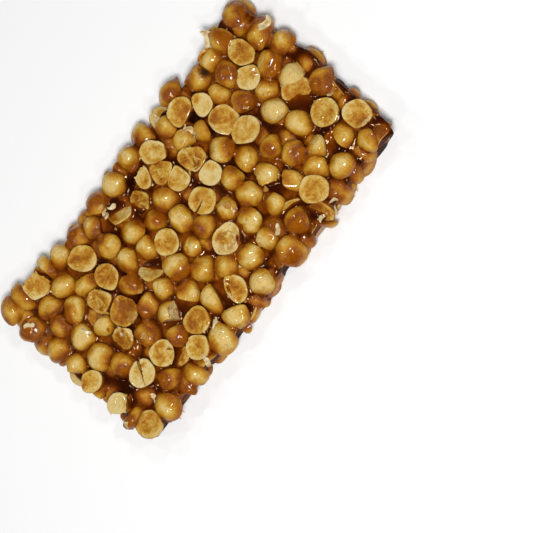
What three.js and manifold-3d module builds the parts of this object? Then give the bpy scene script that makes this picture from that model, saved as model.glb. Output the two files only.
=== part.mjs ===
// A piece of gram brittle: roasted split gram set in hard jaggery caramel, broken off a pressed sheet.
// Millimetres, +Z up. The piece lies on its flat tray side, its long side is along X, and the origin is
// under its middle. Every gram that shows is fused to the caramel, so the piece is one closed solid.
import * as THREE from "three";
import { mergeVertices } from "three/addons/utils/BufferGeometryUtils.js";
import Module from "manifold-3d";

// Driving dimensions.
const slab = {
  length: 95, // along X, between the corners
  width: 50, // along Y, between the corners
  thickness: 10, // from the tray to the crowns of the topmost grams
  swell: 0.5, // how far the rolled top rises and falls
  shoulder: 0.8, // how much lower the top is at the broken sides
  shoulderReach: 5, // how far in from the sides that fall starts
};
const caramel = {
  rimHeight: 0.9, // the thin foot that ran out on the tray
  rimEdge: 0.55, // the height of the foot's upright edge
  rimInset: 0.7,
  rimWave: 0.5, // how far the foot's edge comes and goes
  sideInset: 1.3, // the grams stand out of the sides by about this much
  topInset: 2.2,
  topFall: 1, // how far down the sides the rounded top edge reaches
  belowCrowns: 2.4, // the caramel's level under the topmost crowns
  sliver: 0.6, // a gram that stands out by less is left inside
};
const gram = {
  width: 7.7, // across the flat face of a middling half
  depth: 3.5, // from the flat face to the crown of the dome
  smallest: 0.84, // the smallest and the largest as shares of a middling one
  largest: 1.1,
  stretch: 0.2, // how much longer than wide one may be, as a share
  sides: 8,
  waist: 0.84, // the dome's width at the ring between rim and crown, as a share of its full width
  waistHeight: 0.58, // that ring's height, as a share of the depth
  uneven: 0.08, // how uneven the rim is, as a share of the width
  bitten: 0.55, // how far from the middle a broken gram's bite ends
  underside: 0.3, // the least caramel under a gram
};
const packing = {
  layers: 3,
  pitch: 6.4, // between neighbouring seats in a row before they settle
  rowPitch: 5.6,
  stagger: 0.25, // how far each row is shifted along, to and fro, as a share of the pitch
  shake: 0.95, // how far a seat is shaken out of its row, as a share of the pitch
  crowd: 3.9, // a top seat this near a placed gram stays empty
  closeness: 0.9, // how far apart two grams settle, as a share of their half widths together
  stiffness: 0.3,
  steps: 40,
  edge: 2.5, // a gram's middle stays at least this far inside the outline
  edgeSpread: 1.0, // and some stay this much further inside
  sink: 1.0, // how far under the rolled surface a top gram may lie
  sinkPower: 1.5, // above 1, so that most lie near the surface
  faceSink: 0.5, // a flat face lies this much lower than a dome
};
// How the grams lie: shares of all grams, and how far each kind tips over, in degrees.
const lying = {
  faceUp: { share: 0.06, least: 4, most: 18 },
  domeUp: { share: 0.76, least: 0, most: 24 },
  leaning: { over: 0.35, least: 25, most: 50 },
  placed: { least: 2, most: 7 },
  faceOutwards: { share: 0.3, least: 70, most: 95 }, // of the lower ones along the broken sides
};

// Corners of the outline as shares of half the length and width, anticlockwise, and each side's bulge
// and waves: [amplitude in mm, number of waves, phase].
const corners = [[0.985, 0.99], [-1.01, 0.985], [-1.01, -1.03], [0.985, -1.0]];
const sides = [
  { bulge: -1.0, waves: [[0.9, 2, 2.2], [0.5, 5, 0.4]] },
  { bulge: 0.6, waves: [[0.4, 2.5, 0], [0.4, 4, 1]] },
  { bulge: 0.5, waves: [[0.5, 3, 0.5], [0.35, 6, 2]] },
  { bulge: 2.2, waves: [[0.5, 2, 1], [0.3, 4, 0.3]] },
];
const pointsPerSide = 16;

// The grams that lie in chosen places on top: middle, width along and across, turn in degrees, which
// side is up, and for a broken one the direction of its bite in degrees.
const placedGrams = [
  { at: [-24.2, 15.6], across: [8.4, 7.6], turn: -10, up: "face" },
  { at: [-23.4, 7.6], across: [6.6, 7.2], turn: 0, up: "face" },
  { at: [-7.3, 1.1], across: [7.2, 7.0], turn: 0, up: "face" },
  { at: [6.0, 9.0], across: [7.0, 6.8], turn: 0, up: "face" },
  { at: [12.2, 3.4], across: [6.6, 6.8], turn: 0, up: "face" },
  { at: [6.9, 17.2], across: [6.9, 7.4], turn: 0, up: "face" },
  { at: [23.2, 15.0], across: [6.4, 6.9], turn: 0, up: "face" },
  { at: [25.3, 3.0], across: [8.3, 7.4], turn: -20, up: "face" },
  { at: [38.8, 15.0], across: [8.6, 6.4], turn: 90, up: "face" },
  { at: [40.6, -9.6], across: [7.6, 7.4], turn: 0, up: "face" },
  { at: [25.2, -19.2], across: [7.7, 7.9], turn: 0, up: "face" },
  { at: [-28.4, -14.7], across: [7.2, 7.1], turn: 0, up: "face" },
  { at: [-21.6, -20.2], across: [6.8, 7.0], turn: 0, up: "face" },
  { at: [-45.2, -5.0], across: [6.2, 5.6], turn: 0, up: "face" },
  { at: [-5.2, -18.8], across: [8.2, 6.4], turn: 70, up: "face" },
  { at: [-45.0, -14.6], across: [7.4, 6.4], turn: 90, up: "face", bite: 250 },
  { at: [-35.4, -13.8], across: [7.4, 7.0], turn: 0, up: "face", bite: 40 },
  { at: [5.8, 0.5], across: [7.4, 6.8], turn: 0, up: "face", bite: 170 },
  { at: [2.8, -9.6], across: [9.0, 8.0], turn: 20, up: "face", bite: 245 },
  { at: [0.5, 15.9], across: [6.8, 6.4], turn: 0, up: "face", bite: 110 },
  { at: [20.3, 23.4], across: [7.8, 6.0], turn: 10, up: "dome" },
  { at: [27.6, 19.8], across: [7.6, 7.2], turn: 0, up: "dome" },
  { at: [33.4, 0.4], across: [7.2, 7.6], turn: 0, up: "dome" },
  { at: [41.8, 2.0], across: [7.4, 7.4], turn: 0, up: "dome" },
  { at: [17.0, -20.3], across: [8.4, 7.8], turn: 0, up: "dome" },
  { at: [33.6, -20.4], across: [7.4, 7.0], turn: 0, up: "dome" },
  { at: [-32.0, 21.3], across: [7.8, 6.8], turn: 90, up: "dome" },
  { at: [-16.5, 18.2], across: [6.8, 6.6], turn: 0, up: "dome" },
  { at: [-5.2, 20.8], across: [7.6, 6.8], turn: -25, up: "dome" },
  { at: [1.8, 22.0], across: [7.0, 6.0], turn: 0, up: "dome" },
  { at: [13.7, 18.7], across: [7.2, 7.2], turn: 0, up: "dome" },
  { at: [43.4, 19.8], across: [6.8, 6.6], turn: 0, up: "dome" },
  { at: [46.2, 9.4], across: [7.4, 7.2], turn: -40, up: "dome" },
  { at: [-5.3, 7.2], across: [6.8, 6.6], turn: 0, up: "dome" },
  { at: [-32.7, 1.3], across: [7.6, 6.4], turn: -20, up: "dome" },
  { at: [26.2, -4.4], across: [7.2, 6.8], turn: 0, up: "dome" },
  { at: [17.0, -13.6], across: [7.8, 6.8], turn: 0, up: "dome" },
  { at: [33.5, -13.4], across: [7.4, 6.2], turn: 0, up: "dome" },
  { at: [-27.3, -23.6], across: [7.0, 6.8], turn: 0, up: "dome" },
  { at: [0.5, -22.6], across: [7.8, 6.8], turn: 0, up: "dome" },
];

const degrees = Math.PI / 180;
const caramelTop = slab.thickness - slab.swell / 2 - caramel.belowCrowns;

// One draw from 0 to 1 for each whole number, the same every time.
function draw(number) {
  let h = Math.imul(number ^ 0x9e3779b9, 0x85ebca6b);
  h ^= h >>> 13;
  h = Math.imul(h, 0xc2b2ae35);
  h ^= h >>> 16;
  return (h >>> 0) / 4294967296;
}

// What the draws of one gram decide.
const decided = [
  "shakeX",
  "shakeY",
  "margin",
  "size",
  "stretch",
  "lie",
  "spin",
  "direction",
  "angle",
  "sink",
  "broken",
  "over",
];

function chance(number, decision) {
  return draw(number * 16 + decided.indexOf(decision));
}

function between({ least, most }, share) {
  return (least + (most - least) * share) * degrees;
}

// ---- outline ----

function outlinePoints() {
  const points = [];
  corners.forEach(([x, y], k) => {
    const [nextX, nextY] = corners[(k + 1) % corners.length];
    const from = new THREE.Vector2((x * slab.length) / 2, (y * slab.width) / 2);
    const to = new THREE.Vector2((nextX * slab.length) / 2, (nextY * slab.width) / 2);
    const along = to.clone().sub(from).normalize();
    const outward = new THREE.Vector2(along.y, -along.x);
    for (let i = 0; i < pointsPerSide; i += 1) {
      const t = i / pointsPerSide;
      const fade = Math.sin(Math.PI * t);
      const wave = sides[k].waves.reduce(
        (sum, [size, count, phase]) => sum + size * Math.sin(2 * Math.PI * count * t + phase),
        sides[k].bulge,
      );
      points.push(from.clone().lerp(to, t).addScaledVector(outward, wave * fade));
    }
  });
  return points;
}

const outline = outlinePoints();

// The distance from a point to the outline, positive inside, and the direction that leads inwards.
function fromOutline(x, y) {
  let nearest = { distance: Infinity };
  outline.forEach((from, k) => {
    const to = outline[(k + 1) % outline.length];
    const along = to.clone().sub(from);
    const span = along.length();
    along.divideScalar(span);
    const inward = new THREE.Vector2(-along.y, along.x);
    const offset = new THREE.Vector2(x, y).sub(from);
    const foot = Math.min(Math.max(offset.dot(along), 0), span);
    const distance = offset.clone().addScaledVector(along, -foot).length();
    if (distance < nearest.distance) {
      nearest = { distance, inward, side: Math.sign(offset.dot(inward)) };
    }
  });
  return { depth: nearest.distance * nearest.side, inward: nearest.inward };
}

// The outline moved inwards along the mean direction of the two edges that meet at each point, by a
// little more here and less there where it is to be uneven.
function insetOutline(inset, uneven = 0) {
  return outline.map((point, k) => {
    const before = outline[(k + outline.length - 1) % outline.length];
    const after = outline[(k + 1) % outline.length];
    const along = after.clone().sub(before).normalize();
    const amount = inset + uneven * (2 * draw(k) - 1);
    return point.clone().add(new THREE.Vector2(-along.y, along.x).multiplyScalar(amount));
  });
}

// The height of the rolled top at a point.
function topAt(x, y) {
  const swell = slab.swell * (0.5 + 0.5 * Math.sin(x * 0.07 + 1) * Math.cos(y * 0.11 + 0.5));
  const inside = Math.min(Math.max(fromOutline(x, y).depth / slab.shoulderReach, 0), 1);
  return slab.thickness - swell - slab.shoulder * (1 - inside) ** 2;
}

// ---- where the grams lie ----

// The seats of one layer in staggered, shaken rows; the top layer starts with the placed grams.
function seatsOf(layer) {
  const isTop = layer === packing.layers - 1;
  const columns = Math.round(slab.length / packing.pitch);
  const rows = Math.round(slab.width / packing.rowPitch);
  const list = [];
  if (isTop) {
    placedGrams.forEach((placed, k) => {
      const [x, y] = placed.at;
      list.push({ number: k + 1, layer, placed, x, y, radius: (placed.across[0] + placed.across[1]) / 4 });
    });
  }
  for (let k = 0; k < rows * columns; k += 1) {
    const number = placedGrams.length + 1 + layer * rows * columns + k;
    const [row, column] = [Math.floor(k / columns), k % columns];
    const stagger = (row + layer) % 2 ? packing.stagger : -packing.stagger;
    const shakeX = (chance(number, "shakeX") - 0.5) * packing.shake * packing.pitch;
    const shakeY = (chance(number, "shakeY") - 0.5) * packing.shake * packing.rowPitch;
    const x = ((column + 0.5 + stagger) / columns - 0.5) * slab.length + shakeX;
    const y = ((row + 0.5) / rows - 0.5) * slab.width + shakeY;
    const scale = gram.smallest + (gram.largest - gram.smallest) * chance(number, "size");
    const crowded = placedGrams.some(({ at }) => Math.hypot(x - at[0], y - at[1]) < packing.crowd);
    if (isTop && crowded) continue;
    list.push({ number, layer, x, y, radius: (gram.width / 2) * scale });
  }
  return list;
}

// One layer settles: grams that are too close push each other apart inside the outline, while the
// placed ones stay.
function settle(list) {
  for (let step = 0; step < packing.steps; step += 1) {
    const moves = list.map(() => new THREE.Vector2());
    for (let i = 0; i < list.length; i += 1) {
      for (let j = i + 1; j < list.length; j += 1) {
        const gap = new THREE.Vector2(list[i].x - list[j].x, list[i].y - list[j].y);
        const distance = gap.length() + 1e-9;
        const push = (list[i].radius + list[j].radius) * packing.closeness - distance;
        if (push <= 0) continue;
        gap.multiplyScalar((push * packing.stiffness) / distance);
        moves[i].add(gap);
        moves[j].sub(gap);
      }
    }
    list.forEach((seat, k) => {
      if (seat.placed) return;
      seat.x += moves[k].x;
      seat.y += moves[k].y;
      const margin = packing.edge + packing.edgeSpread * chance(seat.number, "margin");
      for (let pass = 0; pass < 2; pass += 1) {
        const { depth, inward } = fromOutline(seat.x, seat.y);
        const short = Math.max(0, margin - depth);
        seat.x += inward.x * short;
        seat.y += inward.y * short;
      }
    });
  }
  return list;
}

// How a gram is turned: spun about its own axis, laid face up or dome up, and tipped over.
function attitude({ number, layer, placed, x, y }) {
  const faceUp = new THREE.Matrix4().makeRotationX(Math.PI);
  const direction = chance(number, "direction") * 2 * Math.PI;
  const angle = chance(number, "angle");
  if (placed) {
    const spin = new THREE.Matrix4().makeRotationZ(placed.turn * degrees);
    const laid = placed.up === "face" ? spin.multiply(faceUp) : spin;
    return tipped(direction, between(lying.placed, angle)).multiply(laid);
  }
  const spin = new THREE.Matrix4().makeRotationZ(chance(number, "spin") * 2 * Math.PI);
  const { depth, inward } = fromOutline(x, y);
  const atSide = layer < packing.layers - 1 && depth < gram.width / 2;
  if (atSide && chance(number, "broken") < lying.faceOutwards.share) {
    // It was split where the sheet was broken, so its flat face looks outwards.
    const outward = Math.atan2(-inward.y, -inward.x);
    return tipped(outward + Math.PI / 2, -between(lying.faceOutwards, angle)).multiply(spin);
  }
  const lie = chance(number, "lie");
  const { faceUp: face, domeUp: dome, leaning } = lying;
  if (lie < face.share) return tipped(direction, between(face, angle)).multiply(faceUp).multiply(spin);
  if (lie < face.share + dome.share) return tipped(direction, between(dome, angle)).multiply(spin);
  const tip = tipped(direction, between(leaning, angle));
  return chance(number, "over") < leaning.over ? tip.multiply(faceUp).multiply(spin) : tip.multiply(spin);
}

function tipped(direction, angle) {
  const axis = new THREE.Vector3(Math.cos(direction), Math.sin(direction), 0);
  return new THREE.Matrix4().makeRotationAxis(axis, angle);
}

// How far a half gram of the given half sizes reaches in a direction, with its flat face on its middle.
function reachOf(half, matrix, direction) {
  const local = direction.clone().transformDirection(matrix.clone().invert());
  const up = Math.max(local.z, 0) * half.z;
  return Math.hypot(local.x * half.x, local.y * half.y, up);
}

// The direction of a broken gram's bite about its own axis. Laid face up, its own turn is mirrored.
function biteOf(placed) {
  if (placed?.bite === undefined) return undefined;
  return placed.up === "face" ? placed.turn - placed.bite : placed.bite - placed.turn;
}

// The half length and half width of a gram's flat face, and its depth.
function halfSizes({ number, placed, radius }) {
  if (placed) return new THREE.Vector3(placed.across[0] / 2, placed.across[1] / 2, gram.depth);
  const stretch = Math.sqrt(1 + gram.stretch * chance(number, "stretch"));
  return new THREE.Vector3(stretch, 1 / stretch, gram.depth / (gram.width / 2)).multiplyScalar(radius);
}

// Every gram with its half sizes and the matrix that puts it in place: the top ones under the rolled
// surface, the lowest on the tray side and the rest halfway.
function layGrams() {
  const list = [];
  for (let layer = 0; layer < packing.layers; layer += 1) list.push(...settle(seatsOf(layer)));
  return list.map((seat) => {
    const { number, layer, placed, x, y } = seat;
    const half = halfSizes(seat);
    const matrix = attitude(seat);
    const reach = (...direction) => reachOf(half, matrix, new THREE.Vector3(...direction));
    const faceUp = matrix.elements[10] < 0 ? packing.faceSink : 0;
    const sink = packing.sink * chance(number, "sink") ** packing.sinkPower;
    const z = [
      gram.underside + sink / 2 + reach(0, 0, -1),
      slab.thickness / 2 - (reach(0, 0, 1) - reach(0, 0, -1)) / 2,
      topAt(x, y) - sink - faceUp - reach(0, 0, 1),
    ][layer];
    const shiftX = (reach(1, 0, 0) - reach(-1, 0, 0)) / 2;
    const shiftY = (reach(0, 1, 0) - reach(0, -1, 0)) / 2;
    matrix.setPosition(x - shiftX, y - shiftY, z);
    return { number, half, matrix, bite: biteOf(placed) };
  });
}

// The middle of the whole piece, seen from above, from the reach of its grams.
function middleOf(grams) {
  return [new THREE.Vector3(1, 0, 0), new THREE.Vector3(0, 1, 0)].map((axis) => {
    const ends = [axis, axis.clone().negate()].map((direction) =>
      Math.max(
        ...grams.map(({ half, matrix }) => {
          const place = new THREE.Vector3().setFromMatrixPosition(matrix);
          return reachOf(half, matrix, direction) + place.dot(direction);
        }),
      ),
    );
    return (ends[0] - ends[1]) / 2;
  });
}

// ---- solids ----

const wasm = await Module();
wasm.setup();

function solidFrom(positions, triangles) {
  const loose = new THREE.BufferGeometry()
    .setAttribute("position", new THREE.Float32BufferAttribute(positions, 3))
    .setIndex(triangles);
  const merged = mergeVertices(loose, 1e-4);
  return new wasm.Manifold(
    new wasm.Mesh({
      numProp: 3,
      vertProperties: merged.attributes.position.array,
      triVerts: new Uint32Array(merged.index.array),
    }),
  );
}

// Joins rings of equally many points, from the lowest to the highest, and closes both ends.
function loft(rings) {
  const count = rings[0].length;
  const positions = rings.flat().flatMap((point) => point.toArray());
  const triangles = [];
  for (let level = 0; level < rings.length - 1; level += 1) {
    for (let i = 0; i < count; i += 1) {
      const [a, b] = [level * count + i, level * count + ((i + 1) % count)];
      triangles.push(a, b, b + count, a, b + count, a + count);
    }
  }
  const cap = THREE.ShapeUtils.triangulateShape(
    rings[0].map((point) => new THREE.Vector2(point.x, point.y)),
    [],
  );
  const last = (rings.length - 1) * count;
  cap.forEach(([a, b, c]) => triangles.push(a, c, b));
  const lid = THREE.ShapeUtils.triangulateShape(
    rings[rings.length - 1].map((point) => new THREE.Vector2(point.x, point.y)),
    [],
  );
  lid.forEach(([a, b, c]) => triangles.push(last + a, last + b, last + c));
  return solidFrom(positions, triangles);
}

// The caramel between the grams: a slab with a thin foot, drawn in a little towards its top.
function caramelCore() {
  const rings = [
    [caramel.rimInset, caramel.rimWave, 0],
    [caramel.rimInset, caramel.rimWave, caramel.rimEdge],
    [caramel.sideInset, 0, caramel.rimHeight],
    [caramel.sideInset, 0, caramelTop - caramel.topFall],
    [caramel.topInset, 0, caramelTop],
  ];
  return loft(
    rings.map(([inset, uneven, z]) =>
      insetOutline(inset, uneven).map(({ x, y }) => new THREE.Vector3(x, y, z)),
    ),
  );
}

// One half gram: a flat face with an uneven rim, a waist ring and a crown, with its bite if it has one.
function gramSolid({ number, half, matrix, bite }) {
  const rim = [];
  const waist = [];
  for (let i = 0; i < gram.sides; i += 1) {
    const angle = (i / gram.sides) * 2 * Math.PI;
    const uneven = 1 + gram.uneven * (draw(number * 64 + i) - 0.5);
    const offBite = bite === undefined ? 180 : Math.abs(((angle / degrees - bite + 900) % 360) - 180);
    const share = uneven * (offBite < 180 / gram.sides ? gram.bitten : 1);
    const [x, y] = [Math.cos(angle) * share, Math.sin(angle) * share];
    rim.push([x, y, 0]);
    waist.push([x * gram.waist, y * gram.waist, gram.waistHeight]);
  }
  const points = [...rim, ...waist, [0, 0, 1]].map(([x, y, z]) =>
    new THREE.Vector3(x * half.x, y * half.y, z * half.z).applyMatrix4(matrix),
  );
  const triangles = [];
  const crown = 2 * gram.sides;
  for (let i = 0; i < gram.sides; i += 1) {
    const next = (i + 1) % gram.sides;
    triangles.push(i, next, next + gram.sides, i, next + gram.sides, i + gram.sides);
    triangles.push(i + gram.sides, next + gram.sides, crown);
    if (i > 0 && next > 0) triangles.push(0, next, i);
  }
  return solidFrom(points.flatMap((point) => point.toArray()), triangles);
}

// A gram shows if it stands out of the caramel's top or side by more than a sliver.
function shows({ half, matrix }) {
  const place = new THREE.Vector3().setFromMatrixPosition(matrix);
  const top = place.z + reachOf(half, matrix, new THREE.Vector3(0, 0, 1));
  if (top > caramelTop + caramel.sliver) return true;
  const { depth, inward } = fromOutline(place.x, place.y);
  const outward = new THREE.Vector3(-inward.x, -inward.y, 0);
  return reachOf(half, matrix, outward) - depth > caramel.sliver - caramel.sideInset;
}

function brittleGeometry() {
  const grams = layGrams();
  const joined = grams.filter(shows).reduce((whole, one) => whole.add(gramSolid(one)), caramelCore());
  const pieces = joined.decompose().sort((a, b) => b.volume() - a.volume());
  const { numProp, vertProperties, triVerts } = pieces[0].getMesh();
  const [middleX, middleY] = middleOf(grams);
  const positions = [];
  for (let i = 0; i < vertProperties.length; i += numProp) {
    positions.push(vertProperties[i], vertProperties[i + 1], vertProperties[i + 2]);
  }
  return new THREE.BufferGeometry()
    .setAttribute("position", new THREE.Float32BufferAttribute(positions, 3))
    .setIndex(Array.from(triVerts))
    .translate(-middleX, -middleY, 0);
}

const brittle = new THREE.Mesh(
  brittleGeometry(),
  new THREE.MeshStandardMaterial({ color: 0xb97a2c, roughness: 0.25, metalness: 0 }),
);
brittle.name = "brittle";

const piece = new THREE.Group();
piece.add(brittle);

export default piece;
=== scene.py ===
import math

import bmesh
import bpy
import numpy as np
from mathutils import Matrix, Vector, noise
from mathutils.bvhtree import BVHTree


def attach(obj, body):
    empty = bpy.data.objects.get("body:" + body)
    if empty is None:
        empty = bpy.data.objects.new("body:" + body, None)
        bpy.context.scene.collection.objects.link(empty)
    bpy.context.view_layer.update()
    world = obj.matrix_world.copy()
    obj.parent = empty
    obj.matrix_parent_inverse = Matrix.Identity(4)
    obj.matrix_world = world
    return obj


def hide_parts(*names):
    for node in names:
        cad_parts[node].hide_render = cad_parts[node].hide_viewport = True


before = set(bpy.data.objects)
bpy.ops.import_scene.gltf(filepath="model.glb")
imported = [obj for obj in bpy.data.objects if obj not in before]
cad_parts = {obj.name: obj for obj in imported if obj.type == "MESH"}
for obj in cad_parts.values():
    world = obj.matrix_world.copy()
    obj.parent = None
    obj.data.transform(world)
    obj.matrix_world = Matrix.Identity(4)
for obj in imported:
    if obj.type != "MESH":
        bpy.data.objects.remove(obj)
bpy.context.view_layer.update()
mm = 0.001
noise.seed_set(5)  # otherwise the noise vectors differ from run to run

# camera: nearly straight over the slab, turned so the long side climbs
cameraView = {
    "imageWidth": 533, "focal": 2144,  # pixels
    "distance": 500, "target": (3.8, -21.35, 10),  # millimetres; the target is in the middle of the image
    "turns": [("Y", 11.2), ("X", 12.9), ("Z", -49.3)],  # degrees, one after another
}


def addCamera():
    camera = bpy.data.objects.new("camera", bpy.data.cameras.new("camera"))
    bpy.context.scene.collection.objects.link(camera)
    camera.data.lens = camera.data.sensor_width * cameraView["focal"] / cameraView["imageWidth"]
    place = Matrix.Translation(Vector(cameraView["target"]) * mm)
    for axis, degrees in cameraView["turns"]:
        place = place @ Matrix.Rotation(math.radians(degrees), 4, axis)
    camera.matrix_world = place @ Matrix.Translation((0, 0, cameraView["distance"] * mm))
    bpy.context.scene.camera = camera


addCamera()
print("camera is up")

# the rule that lays the grams, the same as in the CAD source, in millimetres
slab = {
    "length": 95, "width": 50, "thickness": 10, "swell": 0.5, "shoulder": 0.8, "shoulderReach": 5,
    "waves": [(0.07, 1), (0.11, 0.5)],  # of the swell, along and across: how tight and where they start
}
gram = {"width": 7.7, "depth": 3.5, "smallest": 0.84, "largest": 1.1, "stretch": 0.2, "underside": 0.3}
packing = {
    "layers": 3, "pitch": 6.4, "rowPitch": 5.6, "stagger": 0.25, "shake": 0.95, "crowd": 3.9,
    "closeness": 0.9, "stiffness": 0.3, "steps": 40, "edge": 2.5, "edgeSpread": 1.0,
    "sink": 1.0, "sinkPower": 1.5, "faceSink": 0.5,
}
lying = {
    "faceUp": {"share": 0.06, "least": 4, "most": 18},
    "domeUp": {"share": 0.76, "least": 0, "most": 24},
    "leaning": {"over": 0.35, "least": 25, "most": 50},
    "placed": {"least": 2, "most": 7},
    "faceOutwards": {"share": 0.3, "least": 70, "most": 95},
}
# the outline's corners, as shares of half the length and width, and each side's bulge and waves
corners = [(0.985, 0.99), (-1.01, 0.985), (-1.01, -1.03), (0.985, -1.0)]
sides = [
    (-1.0, [(0.9, 2, 2.2), (0.5, 5, 0.4)]),
    (0.6, [(0.4, 2.5, 0), (0.4, 4, 1)]),
    (0.5, [(0.5, 3, 0.5), (0.35, 6, 2)]),
    (2.2, [(0.5, 2, 1), (0.3, 4, 0.3)]),
]
pointsPerSide = 16
# the grams in chosen places on top: middle, width along and across, turn and what is special about it
facesUp = [
    ((-24.2, 15.6), (8.4, 7.6), -10, ""), ((-23.4, 7.6), (6.6, 7.2), 0, "cracked"),
    ((-7.3, 1.1), (7.2, 7.0), 0, ""), ((6.0, 9.0), (7.0, 6.8), 0, ""),
    ((12.2, 3.4), (6.6, 6.8), 0, "pale"), ((6.9, 17.2), (6.9, 7.4), 0, ""),
    ((23.2, 15.0), (6.4, 6.9), 0, "pale"), ((25.3, 3.0), (8.3, 7.4), -20, "pale"),
    ((38.8, 15.0), (8.6, 6.4), 90, ""), ((40.6, -9.6), (7.6, 7.4), 0, "wet"),
    ((25.2, -19.2), (7.7, 7.9), 0, "pale"), ((-28.4, -14.7), (7.2, 7.1), 0, "pale"),
    ((-21.6, -20.2), (6.8, 7.0), 0, ""), ((-45.2, -5.0), (6.2, 5.6), 0, ""),
    ((-5.2, -18.8), (8.2, 6.4), 70, ""), ((-45.0, -14.6), (7.4, 6.4), 90, "bitten"),
    ((-35.4, -13.8), (7.4, 7.0), 0, "heart"), ((5.8, 0.5), (7.4, 6.8), 0, "split"),
    ((2.8, -9.6), (9.0, 8.0), 20, "crumbled"), ((0.5, 15.9), (6.8, 6.4), 0, "bitten"),
]
domesUp = [
    ((20.3, 23.4), (7.8, 6.0), 10, ""), ((27.6, 19.8), (7.6, 7.2), 0, "burnt"),
    ((33.4, 0.4), (7.2, 7.6), 0, "pale"), ((41.8, 2.0), (7.4, 7.4), 0, "pale"),
    ((17.0, -20.3), (8.4, 7.8), 0, ""), ((33.6, -20.4), (7.4, 7.0), 0, ""),
    ((-32.0, 21.3), (7.8, 6.8), 90, "whole"), ((-16.5, 18.2), (6.8, 6.6), 0, ""),
    ((-5.2, 20.8), (7.6, 6.8), -25, ""), ((1.8, 22.0), (7.0, 6.0), 0, "whole"),
    ((13.7, 18.7), (7.2, 7.2), 0, ""), ((43.4, 19.8), (6.8, 6.6), 0, "wet"),
    ((46.2, 9.4), (7.4, 7.2), -40, ""), ((-5.3, 7.2), (6.8, 6.6), 0, "pale"),
    ((-32.7, 1.3), (7.6, 6.4), -20, ""), ((26.2, -4.4), (7.2, 6.8), 0, ""),
    ((17.0, -13.6), (7.8, 6.8), 0, ""), ((33.5, -13.4), (7.4, 6.2), 0, "pale"),
    ((-27.3, -23.6), (7.0, 6.8), 0, ""), ((0.5, -22.6), (7.8, 6.8), 0, ""),
]
placedGrams = [{"at": at, "across": across, "turn": turn, "kind": kind, "faceUp": k < len(facesUp)}
               for k, (at, across, turn, kind) in enumerate(facesUp + domesUp)]
bites = {15: 250, 16: 40, 17: 170, 18: 245, 19: 110}  # which placed gram is broken, and which way, in degrees
# what is drawn for each gram, in this order
decided = ["shakeX", "shakeY", "margin", "size", "stretch", "lie", "spin", "direction", "angle", "sink",
           "broken", "over"]


def draw(number):
    h = ((number ^ 0x9E3779B9) * 0x85EBCA6B) & 0xFFFFFFFF
    h ^= h >> 13
    h = (h * 0xC2B2AE35) & 0xFFFFFFFF
    return (h ^ (h >> 16)) / 2**32


def chance(number, decision):
    return draw(number * 16 + decided.index(decision))


def ownDraw(one, k):  # further draws for a gram, apart from the rule's
    return draw(one["number"] * 64 + 40 + k)


def between(limits, share):
    return math.radians(limits["least"] + (limits["most"] - limits["least"]) * share)


def outlinePoints():
    points = []
    half = np.array([slab["length"] / 2, slab["width"] / 2])
    for k, (bulge, waves) in enumerate(sides):
        start, end = corners[k] * half, corners[(k + 1) % len(corners)] * half
        along = (end - start) / np.linalg.norm(end - start)
        outward = np.array([along[1], -along[0]])
        for t in np.arange(pointsPerSide) / pointsPerSide:
            wave = bulge + sum(size * math.sin(2 * math.pi * count * t + phase) for size, count, phase in waves)
            points.append(start + (end - start) * t + outward * wave * math.sin(math.pi * t))
    return np.array(points)


outline = outlinePoints()
edges = np.roll(outline, -1, 0) - outline
spans = np.linalg.norm(edges, axis=1)
alongs = edges / spans[:, None]
inwards = np.stack([-alongs[:, 1], alongs[:, 0]], 1)


def fromOutline(points):
    # depth inside the outline, and the direction that leads further in, for many points at once
    offset = points[:, None] - outline[None]
    foot = np.clip((offset * alongs).sum(2), 0, spans)
    distance = np.linalg.norm(offset - alongs * foot[..., None], axis=2)
    nearest = distance.argmin(1)
    row = np.arange(len(points))
    side = np.sign((offset[row, nearest] * inwards[nearest]).sum(1))
    return distance[row, nearest] * side, inwards[nearest]


def topAt(points):
    along, across = (points[:, k] * tight + start for k, (tight, start) in enumerate(slab["waves"]))
    swell = slab["swell"] * (0.5 + 0.5 * np.sin(along) * np.cos(across))
    inside = np.clip(fromOutline(points)[0] / slab["shoulderReach"], 0, 1)
    return slab["thickness"] - swell - slab["shoulder"] * (1 - inside) ** 2


def seatsOf(layer):
    isTop = layer == packing["layers"] - 1
    seats = []
    if isTop:
        seats = [{"number": k + 1, "at": placed["at"], "radius": sum(placed["across"]) / 4, "placed": placed}
                 for k, placed in enumerate(placedGrams)]
    columns = round(slab["length"] / packing["pitch"])
    rows = round(slab["width"] / packing["rowPitch"])
    for k in range(rows * columns):
        number = len(placedGrams) + 1 + layer * rows * columns + k
        row, column = divmod(k, columns)
        stagger = packing["stagger"] if (row + layer) % 2 else -packing["stagger"]
        shakeX = (chance(number, "shakeX") - 0.5) * packing["shake"] * packing["pitch"]
        shakeY = (chance(number, "shakeY") - 0.5) * packing["shake"] * packing["rowPitch"]
        x = ((column + 0.5 + stagger) / columns - 0.5) * slab["length"] + shakeX
        y = ((row + 0.5) / rows - 0.5) * slab["width"] + shakeY
        scale = gram["smallest"] + (gram["largest"] - gram["smallest"]) * chance(number, "size")
        if isTop and any(math.dist((x, y), placed["at"]) < packing["crowd"] for placed in placedGrams):
            continue
        seats.append({"number": number, "at": (x, y), "radius": gram["width"] / 2 * scale, "placed": None})
    return seats


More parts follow.
